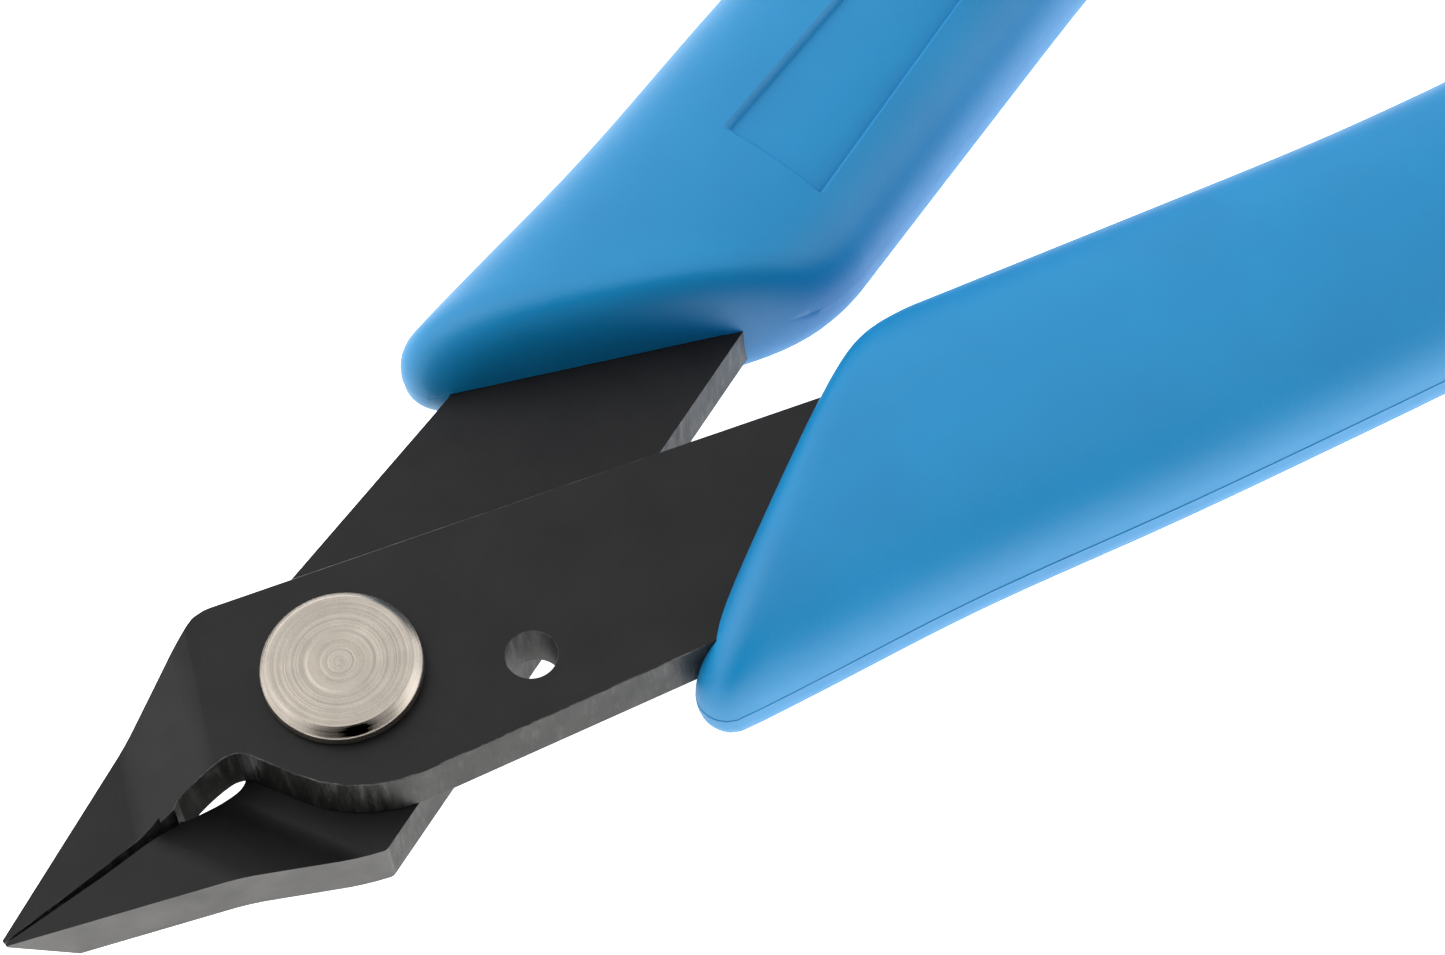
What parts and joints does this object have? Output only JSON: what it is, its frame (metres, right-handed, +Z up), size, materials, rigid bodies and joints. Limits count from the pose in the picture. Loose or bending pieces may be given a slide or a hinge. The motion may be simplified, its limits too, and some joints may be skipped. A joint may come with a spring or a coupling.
{
  "type": "flush cutting nippers",
  "caption": "Small hand nippers with a tapered flush-cutting head: two black steel levers lapped on one rivet, a light return spring and soft blue moulded grips.",
  "frame": {"origin": "on the surface that the tool lies on, under the middle of its closed outline", "axes": "+X from the jaw tips to the grip ends, +Z up along the rivet, out of the front plate; the front plate's grip is on -Y and its jaw on +Y"},
  "size_m": [0.128, 0.0585, 0.011],
  "materials": {
    "black_oxide_steel": "black oxide on blanked steel plate, bare and grey along the sheared edges",
    "turned_steel": "lathe-turned steel with fine concentric rings",
    "blue_rubber": "satin moulded soft grip",
    "spring_steel": "drawn spring wire"
  },
  "bodies": {
    "front_half": {"front_lever": "black_oxide_steel", "pivot_rivet": "turned_steel", "front_grip": "blue_rubber", "return_spring": "spring_steel"},
    "rear_half": {"rear_lever": "black_oxide_steel", "rear_grip": "blue_rubber"}
  },
  "joints": [
    {"name": "pivot", "type": "hinge", "parent": "front_half", "child": "rear_half", "pos_m": [-0.04268, 0, 0.0055], "axis": [0, 0, 1], "range_deg": [0, 12]}
  ]
}
